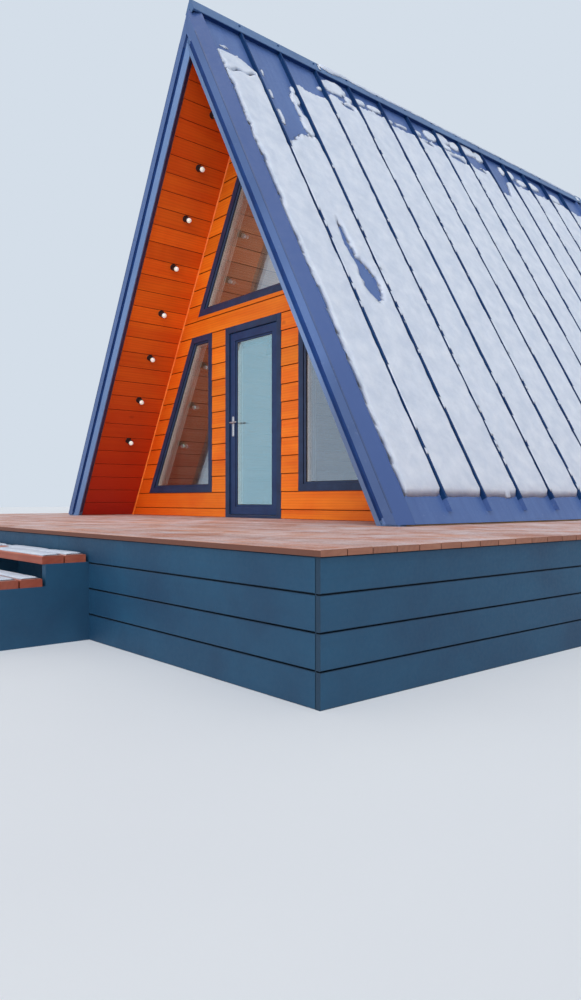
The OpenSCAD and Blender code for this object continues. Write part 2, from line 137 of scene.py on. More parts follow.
class Build:
    """Gathers solids in one mesh, with a tone for each board and a mark on edges and grooves, which the
    materials darken: partly stain in the joints, partly painted shade.
    """

    END_MARK = 0.6
    RIVET_R, RIVET_H = 0.0045, 0.0025

    def __init__(self):
        self.v, self.f, self.tone, self.edge = [], [], [], []

    def add(self, verts, faces, tone=0.5, edges=None):
        base = len(self.v)
        self.v += verts
        self.f += [[base + i for i in f] for f in faces]
        self.tone += [tone] * len(faces)
        self.edge += edges or [0] * len(faces)

    def prism(self, place, section, lo, hi, tone=0.5, edges=None):
        """Extrudes a section, drawn in v and w, along u from lo to hi, which may change with v."""
        at = [end if callable(end) else (lambda v, u=end: u) for end in (lo, hi)]
        n = len(section)
        verts = [place(u(v), v, w) for u in at for v, w in section]
        sides = [[i, (i + 1) % n, n + (i + 1) % n, n + i] for i in range(n)]
        caps = [list(range(n))[::-1], list(range(n, 2 * n))]
        self.add(verts, sides + caps, tone, list(edges or [0] * n) + [self.END_MARK] * 2)

    def rings(self, loops, tone=0.5, closed=False, edges=None):
        """Joins loops of equally many points. It caps the ends, or closes the ring."""
        n, count = len(loops[0]), len(loops)
        faces, marks = [], []
        for k in range(count if closed else count - 1):
            a, b = k * n, (k + 1) % count * n
            for i in range(n):
                faces.append([a + i, a + (i + 1) % n, b + (i + 1) % n, b + i])
                marks.append(edges[k] if edges else 0)
        if not closed:
            faces += [list(range(n))[::-1], [(count - 1) * n + i for i in range(n)]]
            marks += [0, 0]
        self.add([p for loop in loops for p in loop], faces, tone, marks)

    def tube(self, points, radii, n=20):
        """A round bar along points, with a radius at each. It doesn't start upright."""
        pts = [np.array(p, float) for p in points]
        loops, side = [], None
        for i, r in enumerate(radii):
            way = pts[min(i + 1, len(pts) - 1)] - pts[max(i - 1, 0)]
            way /= np.linalg.norm(way)
            if side is None:
                side = np.cross(way, [0, 0, 1])
            side = side - way * np.dot(side, way)
            side /= np.linalg.norm(side)
            loops.append(circle(pts[i], r, side, np.cross(way, side), n))
        self.rings(loops)

    def rivet(self, centre, normal, n=8):
        """A low round head."""
        out = np.array(normal, float) / np.linalg.norm(normal)
        side = np.cross(out, [0, 1, 0] if abs(out[1]) < 0.9 else [1, 0, 0])
        side /= np.linalg.norm(side)
        loops = []
        for k, lift in ((1, -0.3), (1, 0.2), (0.75, 0.75), (0.3, 1)):
            level = np.array(centre, float) + out * self.RIVET_H * lift
            loops.append(circle(level, self.RIVET_R * k, side, np.cross(out, side), n))
        self.rings(loops)

    def make(self, name, material, slot=None, body="root", smooth=False, stands_for=()):
        mesh = bpy.data.meshes.new(name)
        mesh.from_pydata(self.v, [], self.f)
        for key, data in (("tone", self.tone), ("edge", self.edge)):
            attr = mesh.attributes.new(key, "FLOAT", "FACE")
            attr.data.foreach_set("value", np.array(data, dtype=np.float32))
        bm = bmesh.new()
        bm.from_mesh(mesh)
        bmesh.ops.recalc_face_normals(bm, faces=bm.faces)
        bm.to_mesh(mesh)
        bm.free()
        mesh.materials.append(material)
        if smooth:
            mesh.polygons.foreach_set("use_smooth", [True] * len(mesh.polygons))
        ob = bpy.data.objects.new(name, mesh)
        scene.collection.objects.link(ob)
        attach(ob, body)
        if stands_for:
            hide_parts(*stands_for)
        return ob


# Materials
def lin(*color):
    """Linear colour from one in the usual 0 to 255."""
    parts = [v / 255 for v in color]
    return (*(v / 12.92 if v <= 0.04045 else ((v + 0.055) / 1.055) ** 2.4 for v in parts), 1)


class Nodes:
    """Short ways to write a node tree."""

    def __init__(self, tree):
        self.tree = tree

    def put(self, socket, value):
        if isinstance(value, bpy.types.NodeSocket):
            self.tree.links.new(value, socket)
        else:
            socket.default_value = value

    def node(self, kind, inputs, out=0, **settings):
        """Adds a node with its inputs, by name or number, and gives one output."""
        node = self.tree.nodes.new("ShaderNode" + kind)
        for key, value in settings.items():
            setattr(node, key, value)
        for key, value in inputs.items():
            self.put(node.inputs[key], value)
        return node.outputs[out]

    def math(self, op, a, b=0, clamp=False):
        return self.node("Math", {0: a, 1: b}, operation=op, use_clamp=clamp)

    def total(self, a, part_a, b, part_b):
        return self.math("ADD", self.math("MULTIPLY", a, part_a), self.math("MULTIPLY", b, part_b))

    def shaders(self, fac, a, b):
        return self.node("MixShader", {0: fac, 1: a, 2: b})


class Mat(Nodes):
    """A node material round one Principled shader."""

    def __init__(self, name, rough=0.5, metal=0, spec=0.5, coat=0):
        self.m = bpy.data.materials.new(name)
        self.m.use_nodes = True
        super().__init__(self.m.node_tree)
        self.b = self.tree.nodes["Principled BSDF"]
        for socket, value in zip(("Roughness", "Metallic", "Specular IOR Level", "Coat Weight"),
                                 (rough, metal, spec, coat)):
            self.set(socket, value)
        self.co = self.node("TexCoord", {}, "Object")
        self.relief = None

    def set(self, socket, value):
        self.put(self.b.inputs[socket], value)

    def attr(self, name):
        return self.node("Attribute", {}, "Fac", attribute_name=name)

    def split(self, vector, axis):
        return self.node("SeparateXYZ", {0: vector}, axis)

    def facing(self, axis):
        return self.split(self.node("NewGeometry", {}, "Normal"), axis)

    def scaled(self, scale, board=None):
        """The place, scaled by axis and moved elsewhere for each board."""
        inputs = {"Vector": self.co, "Scale": scale}
        if board is not None:
            moved = {i: self.math("MULTIPLY", board, 31.7 + 17.3 * i) for i in range(3)}
            inputs["Location"] = self.node("CombineXYZ", moved)
        return self.node("Mapping", inputs)

    def noise(self, scale, detail, rough=0.55, bend=0, board=None):
        """Noise at one scale, or at a scale for each axis."""
        even = not isinstance(scale, tuple)
        inputs = {"Vector": self.co if even else self.scaled(scale, board), "Scale": scale if even else 1,
                  "Detail": detail, "Roughness": rough, "Distortion": bend}
        return self.node("TexNoise", inputs, "Fac")

    def voronoi(self, vec, scale=1):
        return self.node("TexVoronoi", {"Vector": vec, "Scale": scale}, "Distance")

    def span(self, value, lo, hi, to0=0, to1=1):
        return self.node("MapRange", dict(enumerate((value, lo, hi, to0, to1))))

    def mix(self, fac, a, b, kind="MIX"):
        return self.node("Mix", {0: fac, 6: a, 7: b}, 2, data_type="RGBA", blend_type=kind)

    def ramp(self, value, lo, hi, dark, light):
        return self.mix(self.span(value, lo, hi), lin(*dark), lin(*light))

    def over(self, color, fac, tint):
        """Lays a tint over a colour."""
        return self.mix(fac, color, lin(*tint))

    def bump(self, height, strength, distance):
        """Adds relief on top of what there is."""
        inputs = {"Strength": strength, "Distance": distance, "Height": height}
        if self.relief is not None:
            inputs["Normal"] = self.relief
        self.relief = self.node("Bump", inputs)
        self.set("Normal", self.relief)

    def done(self, color, rough=None):
        self.set("Base Color", color)
        if rough is not None:
            self.set("Roughness", rough)
        return self.m


def along(axis, length, across):
    """Noise scale for grain that runs along one axis."""
    scale = [across] * 3
    scale["XYZ".index(axis)] = length
    return tuple(scale)


def shade(color, part):
    return [v * part for v in color]


def wood(name, axis, light, dark, edge, knot, rough, tone, frost=0, coat=0, knots=1, grain=0.3,
         spec=0.5, ramps=()):
    """Stained boards with grain along an axis. Ramps tint them along an axis of the frame."""
    m = Mat(name, rough, spec=spec, coat=coat)
    board = m.attr("tone")
    fine = m.noise(along(axis, 1.6, 110), 5, 0.6, 0.3, board)
    broad = m.noise(along(axis, 0.6, 7), 3, 0.5, 0.8, board)
    cloud = m.noise((1.7, 1.7, 1.7), 4, 0.6, 0.5)
    waves = {"Vector": m.scaled(along(axis, 0.4, 9), board), "Scale": 1.3, "Distortion": 6, "Detail": 3}
    rings = m.node("TexWave", waves, "Fac", wave_type="RINGS", rings_direction=axis)
    col = m.ramp(m.total(broad, 0.5, cloud, 0.5), 0.36, 0.64, dark, light)
    lines = m.total(fine, 0.7, rings, 0.3)
    col = m.over(col, m.span(lines, 0.42, 0.72, 0, grain), shade(dark, 0.72))
    level = m.span(board, 0, 1, 1 - tone, 1)
    col = m.mix(1, col, m.node("CombineColor", {0: level, 1: level, 2: level}), "MULTIPLY")
    for axis_no, start, end, amount, tint in ramps:
        col = m.over(col, m.span(m.split(m.co, axis_no), start, end, 0, amount), tint)
    spots = m.voronoi(m.scaled(along(axis, 1.5, 2.6), board))
    col = m.over(col, m.span(spots, 0.03, 0.07, 0.7 * knots, 0), knot)
    col = m.over(col, m.span(spots, 0.01, 0.022, 0.7 * knots, 0), shade(knot, 0.45))
    # Marked edges and grooves take the edge colour: partly stain in the joints, partly painted shade under
    # and between boards.
    col = m.over(col, m.attr("edge"), edge)
    if frost:
        ice = m.total(m.noise(3, 8, 0.7, 0.3), 0.75, m.noise(90, 3, 0.6), 0.3)
        ice = m.math("MULTIPLY", m.span(ice, 0.44, 0.68), m.span(m.facing(2), 0.5, 0.9), True)
        col = m.over(col, m.math("MULTIPLY", ice, frost), (226, 228, 238))
    m.bump(lines, 0.3, 0.0012)
    return m.done(col, m.span(fine, 0.3, 0.8, rough + 0.12, rough - 0.08))


def metal(name, light, dark, rough=0.42, wave=0.25, streak=0.5, painted_side_shade=None, spec=0.4, coat=0.12):
    """Coated sheet with dust, streaks and shallow waves. Painted shade can darken what doesn't face an end.
    """
    m = Mat(name, rough, spec=spec, coat=coat)
    cloud = m.noise(0.9, 4, 0.6, 0.4)
    run = m.noise((3, 14, 0.7), 4, 0.6)
    col = m.ramp(m.total(cloud, 1 - streak, run, streak), 0.35, 0.68, dark, light)
    dust = m.noise(26, 8, 0.75)
    col = m.over(col, m.span(dust, 0.58, 0.8, 0, 0.28), (190, 203, 222))
    if painted_side_shade:
        # Painted shade: faces that don't face an end are tinted darker, for how light falls on them.
        col = m.over(col, m.span(m.math("ABSOLUTE", m.facing(1)), 0.8, 0.5, 0, 0.8), painted_side_shade)
    m.bump(m.noise((1.2, 3, 1.2), 2, 0.4), wave, 0.012)
    m.bump(m.noise(420, 2, 0.5), 0.06, 0.0006)
    return m.done(col, m.span(dust, 0.3, 0.75, rough - 0.06, rough + 0.2))


def paint(name, light, dark, edge, rough, scale=7, grain=None, spec=0.5):
    """Paint, a little worn, with the grain of boards where it has one."""
    m = Mat(name, rough, spec=spec)
    col = m.ramp(m.noise(scale, 5, 0.6, 0.3), 0.34, 0.68, dark, light)
    # Marked edges and grooves take the edge colour: partly dirt in the joints, partly painted shade.
    col = m.over(col, m.attr("edge"), edge)
    if grain:
        lines = m.noise(along(grain, 1.4, 60), 4, 0.6, board=m.attr("tone"))
        col = m.over(col, m.span(lines, 0.5, 0.8, 0, 0.35), dark)
        m.bump(lines, 0.3, 0.0012)
    worn = m.noise(45, 6, 0.7)
    col = m.over(col, m.span(worn, 0.66, 0.78, 0, 0.3), [min(255, v + 60) for v in light])
    m.bump(m.noise(260, 2, 0.5), 0.08, 0.0006)
    return m.done(col, m.span(worn, 0.3, 0.7, rough - 0.05, rough + 0.12))


def glass_pane(name, mirroring, tint):
    """Thin glass that mirrors more at a slant and has a film of dust."""
    m = Mat(name, 0.5)
    film = m.noise(5, 4, 0.6)
    wave = m.node("Bump", {"Strength": 0.05, "Distance": 0.01, "Height": m.noise(1.3, 2, 0.5)})
    mirror = {"Color": lin(*tint), "Roughness": m.span(film, 0.3, 0.8, 0, 0.03), "Normal": wave}
    slant = m.math("POWER", m.node("LayerWeight", {"Blend": 0.5}, "Facing"), 5)
    mirrored = m.math("ADD", m.span(slant, 0, 1, mirroring, 1), m.span(film, 0.5, 0.9, 0, 0.02), True)
    pane = m.shaders(mirrored, m.node("BsdfTransparent", {"Color": lin(246, 249, 250)}),
                     m.node("BsdfGlossy", mirror))
    dusty = m.shaders(m.span(film, 0.4, 0.75, 0, 0.012), pane, m.b.outputs[0])
    light = m.node("BsdfTransparent", {"Color": lin(236, 239, 240)})
    glass = m.shaders(m.node("LightPath", {}, "Is Shadow Ray"), dusty, light)
    m.put(m.tree.nodes["Material Output"].inputs["Surface"], glass)
    return m.done(m.mix(film, lin(206, 214, 218), lin(226, 226, 222)))


def snow_material():
    m = Mat("snow", 0.75)
    lumps = m.noise(7, 6, 0.6)
    fine = m.noise(130, 4, 0.7)
    m.set("Subsurface Weight", 0.15)
    m.set("Subsurface Radius", (0.02, 0.025, 0.03))
    m.bump(lumps, 0.5, 0.02)
    m.bump(fine, 0.35, 0.003)
    col = m.ramp(lumps, 0.35, 0.7, (188, 199, 217), (207, 215, 229))
    return m.done(col, m.span(fine, 0.3, 0.7, 0.6, 0.9))


def concrete():
    m = Mat("pier_concrete", 0.85)
    cloud = m.noise(9, 8, 0.65)
    pits = m.voronoi(m.co, 120)
    col = m.ramp(cloud, 0.35, 0.7, (134, 132, 128), (178, 176, 170))
    m.bump(cloud, 0.4, 0.004)
    m.bump(pits, 0.3, 0.002)
    return m.done(m.over(col, m.span(pits, 0.02, 0.12, 0.6, 0), (92, 90, 88)))


def steel():
    m = Mat("hardware_steel", 0.3, 1)
    lines = m.noise((400, 400, 8), 3, 0.6)
    m.bump(lines, 0.08, 0.0004)
    col = m.ramp(lines, 0.35, 0.7, (176, 178, 182), (222, 224, 228))
    return m.done(col, m.span(lines, 0.3, 0.7, 0.24, 0.4))


def globe():
    m = Mat("light_globe", 0.22)
    cloud = m.noise(40, 3, 0.5)
    m.set("Subsurface Weight", 0.3)
    # Painted glow: a faint emission keeps the globes bright, though no lamp lights them.
    m.set("Emission Color", lin(255, 250, 240))
    m.set("Emission Strength", 0.12)
    col = m.ramp(cloud, 0.35, 0.7, (232, 231, 226), (250, 249, 244))
    return m.done(col, m.span(cloud, 0.3, 0.7, 0.18, 0.3))


# Woods: grain axis, light and dark tone, edges, knots, roughness and how far boards differ
GABLE = wood(
    "gable_stain", "X", (248, 134, 28), (230, 102, 12), (130, 48, 10), (160, 60, 10), 0.45, 0.2, grain=0.22,
    knots=0.6, spec=0.3, ramps=((0, -0.8, -2, 0.55, (222, 66, 6)), (0, 0.9, 2.4, 0.4, (196, 84, 20))))
# The soffit's ramps paint shade darker towards the peak, and make the boards darker and redder towards the
# deck.
SOFFIT = wood(
    "soffit_stain", "Y", (242, 108, 22), (226, 86, 14), (104, 32, 8), (140, 42, 8), 0.5, 0.16, grain=0.25,
    knots=0.5, spec=0.25, ramps=((2, 3.7, 5.1, 0.5, (172, 44, 16)), (2, 3, 1.3, 0.85, (178, 42, 12)),
                                 (2, 1.4, 0.7, 0.65, (154, 20, 22))))
CEILING = wood("ceiling_pine", "Y", (208, 176, 148), (180, 146, 118), (96, 70, 52), (120, 84, 58), 0.5, 0.15)
BEAD = wood(
    "bead_stain", "Z", (255, 140, 50), (248, 112, 30), (170, 62, 12), (190, 76, 14), 0.4, 0.1, coat=0.15)
DECKING = wood(
    "deck_stain", "X", (208, 150, 122), (178, 114, 90), (104, 62, 48), (120, 68, 50), 0.62, 0.22, 0.7)
TREAD = wood("step_stain", "X", (216, 134, 106), (188, 96, 70), (104, 30, 14), (120, 40, 20), 0.5, 0.2, 0.5)
FRAMING, JOIST = (
    wood(name, axis, (196, 158, 112), (160, 118, 76), (110, 74, 44), (108, 70, 40), 0.7, 0.2)
    for name, axis in (("frame_timber", "Y"), ("joist_timber", "X")))
FLOOR = wood(
    "floor_wood", "X", (204, 156, 104), (168, 112, 64), (90, 54, 28), (120, 72, 38), 0.35, 0.2,
    coat=0.2)
REVEAL = wood(
    "reveal_wood", "Z", (240, 232, 218), (226, 214, 196), (132, 112, 96), (190, 160, 130), 0.45, 0.12,
    knots=0.2, grain=0.12)
PANEL = wood(
    "panel_timber", "Y", (198, 164, 120), (166, 128, 84), (110, 78, 46), (120, 84, 50), 0.7, 0.1,
    knots=0.5)
INSIDE = wood("wall_inside", "X", (212, 164, 114), (182, 128, 80), (104, 58, 30), (130, 82, 46), 0.5, 0.15)
# Metals: light and dark tone, roughness, waves and streaks
ROOF = metal("roof_metal", (78, 107, 162), (62, 89, 144))
RIDGE = metal("ridge_metal", (72, 108, 154), (58, 90, 136), 0.4, 0.12, 0.2)
# The seams are the roof's own metal, made dark as painted shade of their sides.
SEAM = metal("seam_metal_painted_shade", (16, 58, 106), (8, 42, 88), 0.55, 0.1, 0.3, spec=0.15, coat=0)
VERGE = metal("verge_metal", (82, 108, 158), (67, 93, 141), 0.45, 0.1, 0.2, painted_side_shade=(44, 72, 128), coat=0)
# A darker copy of the verge metal: painted shade along the rolled edges.
HEM = metal("verge_hem_painted_shade", (54, 78, 124), (44, 66, 110), 0.42, 0.1, 0.2)
BARGE = metal("barge_paint", (104, 134, 180), (90, 120, 166), 0.42, 0.1, 0.2)
# Paints: light and dark tone, edges and roughness
# Painted shade: a dark paint laid under the verges where there is only shade.
UNDER = paint("verge_underside_shade", (56, 52, 98), (42, 38, 76), (24, 22, 46), 0.6)
# Painted shade: dark strips in the verge grooves and under the ridge cap.
GROOVE = paint("groove_painted_shade", (16, 54, 112), (10, 42, 96), (8, 26, 66), 0.6, spec=0.2)
NAVY = paint("frame_navy", (34, 54, 88), (26, 42, 72), (16, 22, 44), 0.4, spec=0.35)
DOOR = paint("door_blue", (34, 58, 100), (26, 46, 86), (16, 28, 56), 0.4, spec=0.3)
CREAM = paint("bead_cream", (250, 238, 226), (238, 222, 208), (124, 106, 92), 0.4)
RUBBER = paint("gasket_black", (26, 26, 30), (18, 18, 22), (10, 10, 12), 0.75)
SKIRT, SKIRT_SIDE = (
    paint(name, (16, 72, 104), (9, 57, 88), (5, 25, 42), 0.55, 2.2, axis)
    for name, axis in (("skirt_paint", "X"), ("skirt_paint_side", "Y")))
BLACK = paint("light_black", (26, 24, 28), (16, 15, 18), (10, 10, 12), 0.45)
STEEL = steel()
GLOBE = globe()
SNOW = snow_material()
GLASS = glass_pane("window_glass", 0.23, (226, 241, 254))
DOOR_GLASS = glass_pane("door_glass", 0.4, (206, 245, 255))
CONCRETE = concrete()

# Finish of a node, by words in its name
FINISHES = {
    "base_piers": CONCRETE, "base_bearers": FRAMING, "joists": JOIST, "step_stringers": SKIRT_SIDE,
    "_floor": FLOOR, "_wall_": INSIDE, "roof_lining": CEILING, "roof_panel": PANEL, "roof_sheet": ROOF,
    "eave_trims": ROOF, "ridge_cap": RIDGE, "verge_caps": VERGE, "barge_boards": BARGE,
    "window_frames": NAVY, "window_glass": GLASS, "window_linings": REVEAL, "door_frame": NAVY,
    "door_threshold": NAVY, "door_leaf": DOOR, "door_glass": DOOR_GLASS, "door_handle": STEEL,
    "hinge": STEEL, "light_holders": BLACK, "light_globes": GLOBE,
}
for node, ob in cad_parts.items():
    ob.data.materials.clear()
    ob.data.materials.append(next((finish for words, finish in FINISHES.items() if words in node), DECKING))

rng = random.Random(61)


# Boards on the gables
def lap_section(z0, z1):
    """Lapped board: its foot stands over the head of the one below."""
    section = [
        (z0 - 0.003, -0.004), (z0 - 0.003, 0.001), (z0 + 0.001, 0.001), (z0 + 0.001, 0.0085),
        (z0 + 0.0035, 0.0105), (z1 - 0.009, 0.0066), (z1 - 0.006, 0.0036), (z1 - 0.006, 0.001),
        (z1 + 0.001, 0.001), (z1 + 0.001, -0.004)]
    # The marks paint shade under the board's foot and in the groove at its head.
    return section, [1, 1, 0.9, 0.15, 0, 0.4, 0.8, 0.9, 1, 1]


def gable_rows():
    """Foot and head of each course: a narrow one, whole ones, and the last up to the peak."""
    rows = [(DECK + 0.002, DECK + FIRST_COURSE)]
    while rows[-1][1] < PEAK - COURSE:
        rows.append((rows[-1][1], rows[-1][1] + COURSE))
    return rows[:-1] + [(rows[-1][0], PEAK - 0.015)]


def gable_boards(name, rear):
    """Courses round the openings, a little ragged where they end."""
    b = Build()
    place = on_gable(rear)
    outer = lambda z: max(half(-0.004, z), 0.0)
    window = lambda z: max(half(-MARGIN, z), 0.0)
    for z0, z1 in gable_rows():
        section, edges = lap_section(z0, z1)
        halves = ((0, 1), (3, -1))  # first ragged end of a side, and the side
        jag = [rng.uniform(0, 0.004) for _ in range(8)]
        spans = [(None, outer, 1), (None, outer, -1)]  # from the centre out
        if z1 >= TOP_SILL:
            spans = [(lambda z, e=jag[i]: window(z) + (e if window(z) > 0 else 0.0), outer, side)
                     for i, side in halves]
            if z0 < TOP_SILL:  # the part of this course under the upper window
                low = [(min(v, TOP_SILL + 0.065), w) for v, w in section]
                b.prism(place, low, lambda z: -window(z), window, rng.random(), edges)
        elif SILL + 0.01 <= z1 < HEAD + 0.01:
            spans = []
            for i, side in halves:
                spans.append((None if rear else JAMB_X + jag[i], lambda z, x=WINDOW_X - jag[i + 1]: x, side))
                spans.append((lambda z, e=jag[i + 2]: half(-MARGIN, z) + e, outer, side))
        elif z1 < SILL + 0.01 and not rear:
            spans = [(JAMB_X + jag[0], outer, 1), (JAMB_X + jag[1], outer, -1)]
        for lo, hi, side in spans:
            tone = rng.random()
            if lo:
                b.prism(lambda u, v, w: place(side * u, v, w), section, lo, hi, tone, edges)
            elif side > 0:  # one board right across
                b.prism(place, section, lambda z: -hi(z), hi, tone, edges)
    b.make(name, GABLE, "gable_stain")


gable_boards("gable_boards_front", False)
gable_boards("gable_boards_rear", True)


# Boards on the soffit and the ceiling
def flat_section(v0, v1):
    """Flat board with chamfered edges and a tongue in the groove."""
    w, c, groove = 0.006, 0.0035, 0.0008
    part = [(v0, -0.003), (v0, groove), (v0 + 0.0012, groove), (v0 + 0.0012, w - c), (v0 + c, w)]
    return mirrored(part, v0 + v1), [1, 1, 1, 0.75, 0, 0.75, 1, 1, 1, 1]


def slope_boards(name, material, y0, y1, joints=()):
    """Boards on the inside of both slopes, from the peak to the deck."""
    b = Build()
    low = foot(0.002)
    for side, _ in SIDES:
        place = on_slope(side)
        start, end = 0.012, 0.1
        while start < low - 0.02:
            end = min(end, low)
            section, edges = flat_section(start, end)
            ends = [y0] + [y + rng.uniform(-0.5, 0.5) for y in joints] + [y1]
            for lo, hi in stretches(ends):
                b.prism(lambda u, v, w: place(u, v, -w), section, lo + (0.001 if lo != y0 else 0), hi,
                        rng.random(), edges)
            start, end = end, end + COURSE
    b.make(name, material, "soffit_stain")


slope_boards("soffit_boards_front", SOFFIT, SOFFIT_Y + 0.002, -0.001)
slope_boards("soffit_boards_rear", SOFFIT, LENGTH + 0.001, LENGTH - SOFFIT_Y - 0.002)
slope_boards("ceiling_boards", CEILING, WALL + 0.001, LENGTH - WALL - 0.001, (2, 4))

# Beads where the soffit meets the gable, and along the peak
b = Build()
quarter = [(0, 0), (0.015, 0), (0.0142, 0.006), (0.011, 0.011), (0.006, 0.0142), (0, 0.015)]
for rear, side in CORNERS:
    place = on_slope(side)
    b.rings([[place(from_end(-0.004 - t, rear), s, -0.004 - w) for t, w in quarter]
             for s in (0.02, foot(0) - 0.004)], 0.9)
b.make("corner_beads", BEAD, "gable_stain")
b = Build()
peak = PEAK - 0.012 / C
slant = peak - 0.03 * T * 0.32
section = [(-0.03, slant), (0, peak + 0.006), (0.03, slant), (0.022, peak - 0.034), (-0.022, peak - 0.034)]
for ends in ((SOFFIT_Y + 0.002, -0.03), (LENGTH + 0.03, LENGTH - SOFFIT_Y - 0.002)):
    b.rings([[on_deck(x, y, z) for x, z in section] for y in ends], 0.6)
b.make("peak_beads", SOFFIT, "soffit_stain")


# Decks, skirts and steps
def board(v0, v1, w0, w1, c, k=None):
    """Section with its outer corners cut by c, or rounded by one more point at k of c."""
    eased = [(v0 + c * k, w1 - c * k)] if k else []
    return mirrored([(v0, w0), (v0, w1 - c)] + eased + [(v0 + c, w1)], v0 + v1)


def course(b, place, section, edges, u0, u1, pieces, k, shifts):
    """Boards end to end, with joints that shift from course to course."""
    gap = 0.0015
    joints = [u0 + (u1 - u0) * i / pieces + shifts[(k + i) % 2] for i in range(1, pieces)]
    for lo, hi in stretches([u0] + joints + [u1]):
        b.prism(place, section, lo + (gap if lo != u0 else 0), hi - (gap if hi != u1 else 0),
                rng.random(), edges)


def deck_boards(word, x0, x1, y0, y1, pieces=3):
    b = Build()
    rows = max(1, round((y1 - y0) / DECK_PITCH))
    pitch = (y1 - y0) / rows
    for k in range(rows):
        lo, hi = y0 + k * pitch + 0.0025, y0 + (k + 1) * pitch - 0.0025
        section = board(lo, hi, SKIRT_TOP, DECK - rng.uniform(0, 0.0012), 0.003, 0.4)
        course(b, on_deck, section, [1, 0.3, 0.1, 0, 0.1, 0.3, 1, 0.5], x0, x1, pieces, k, (-0.31, 0.62))
    b.make(f"deck_boards_{word}", DECKING, "deck_stain", stands_for=[f"deck_{word}"])


deck_boards("front", -DECK_X, DECK_X, DECK_FRONT, 0)
deck_boards("rear", -DECK_X, DECK_X, LENGTH, DECK_REAR)
walk_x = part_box("deck_right")[0][0]
deck_boards("right", walk_x, DECK_X, 0, LENGTH, 1)
deck_boards("left", -DECK_X, -walk_x, 0, LENGTH, 1)


def skirt_boards(word, place, u0, u1, material, rows=4, pieces=3):
    b = Build()
    pitch = SKIRT_TOP / rows
    for k in range(rows):
        section = board(k * pitch + (0.003 if k else 0), (k + 1) * pitch - 0.003, 0, 0.028, 0.003)
        course(b, place, section, [1, 0.5, 0, 0.5, 1, 1], u0, u1, pieces, k, (-0.4, 0.4))
    # Backing board, which closes the gaps
    backing = [(0, -0.002), (0, 0.001), (SKIRT_TOP, 0.001), (SKIRT_TOP, -0.002)]
    b.prism(place, backing, u0, u1, 0.2, [1] * 4)
    b.make(f"skirt_boards_{word}", material, "skirt_paint", stands_for=[f"skirt_{word}"])


skirt_x = DECK_X - SKIRT_IN
for word, y, out in (("front", DECK_FRONT + SKIRT_IN, -1), ("rear", DECK_REAR - SKIRT_IN, 1)):
    skirt_boards(word, lambda u, v, w: on_deck(u, y + out * w, v), -skirt_x, skirt_x, SKIRT)
for side, word in SIDES:
    skirt_boards(word, lambda u, v, w: on_deck(side * (skirt_x + w), u, v),
                 DECK_FRONT + 0.02, DECK_REAR - 0.02, SKIRT_SIDE)


def tread(k):
    """Front edge and top of the step that is the k-th one down."""
    return DECK_FRONT - k * STEP_RUN, DECK - k * STEP_RISE


b = Build()
for k in range(1, STEPS + 1):
    front, z = tread(k)
    for y in (front, front + BOARD_PITCH):
        b.prism(on_deck, board(y, y + BOARD, z - 0.045, z, 0.006, 0.3), -STEP_X, STEP_X, rng.random(),
                [0.5, 0.2, 0.1, 0, 0.1, 0.2, 0.5, 0.6])
b.make("step_boards", TREAD, "step_stain", stands_for=["step_treads"])


# Windows and door: outlines that shrink by i on all sides
def side_outline(i):
    d = -(MARGIN + i)
    lo, hi = SILL + i, HEAD - i
    return [(WINDOW_X + i, lo), (half(d, lo), lo), (half(d, hi), hi), (WINDOW_X + i, hi)]


def other_side_outline(i):
    return [(-x, z) for x, z in side_outline(i)]


def upper_outline(i):
    d = -(MARGIN + i)
    z = TOP_SILL + i
    return [(-half(d, z), z), (half(d, z), z), (0, PEAK + d / C)]


def leaf_outline(i):
    x, lo, hi = LEAF_X - i, LEAF_LOW + i, LEAF_HIGH - i
    return [(-x, lo), (x, lo), (x, hi), (-x, hi)]


PANES = (side_outline, other_side_outline, upper_outline)
LEAF = (leaf_outline,)


def profile(b, outlines, steps, rear=False, edges=None):
    """Runs a section of (inset, depth) points round outlines on a gable."""
    place = on_gable(rear)
    for outline in outlines:
        b.rings([[place(x, z, -y) for x, z in outline(i)] for i, y in steps], 0.5, True, edges)


def framed(name, material, outlines, steps, rear=False, edges=None, **kind):
    b = Build()
    profile(b, outlines, steps, rear, edges)
    b.make(name, material, "frame_navy", **kind)


FRAME_STEPS = [
    (0, 0.085), (0, -0.0095), (0.0008, -0.0114), (0.0028, -0.012), (0.0655, -0.012), (0.068, -0.0112),
    (0.0692, -0.009), (0.07, 0.0015), (0.0712, 0.0022), (0.073, 0.002), (0.086, 0.007), (0.0888, 0.01),
    (0.09, 0.014), (0.09, 0.085)]
FRAME_EDGES = [1, 0.4, 0, 0, 0, 0.2, 0.9, 0.7, 0, 0, 0, 0.4, 0.9, 1]
GASKET_STEPS = [(0.0892, 0.0135), (0.0935, 0.0165), (0.0945, 0.0219), (0.0892, 0.0219)]
for end, rear in ENDS:
    framed(f"{end}_frame_profiles", NAVY, PANES, FRAME_STEPS, rear, FRAME_EDGES,
           stands_for=[f"{end}_window_frames"])
    framed(f"{end}_window_gaskets", RUBBER, PANES, GASKET_STEPS, rear)

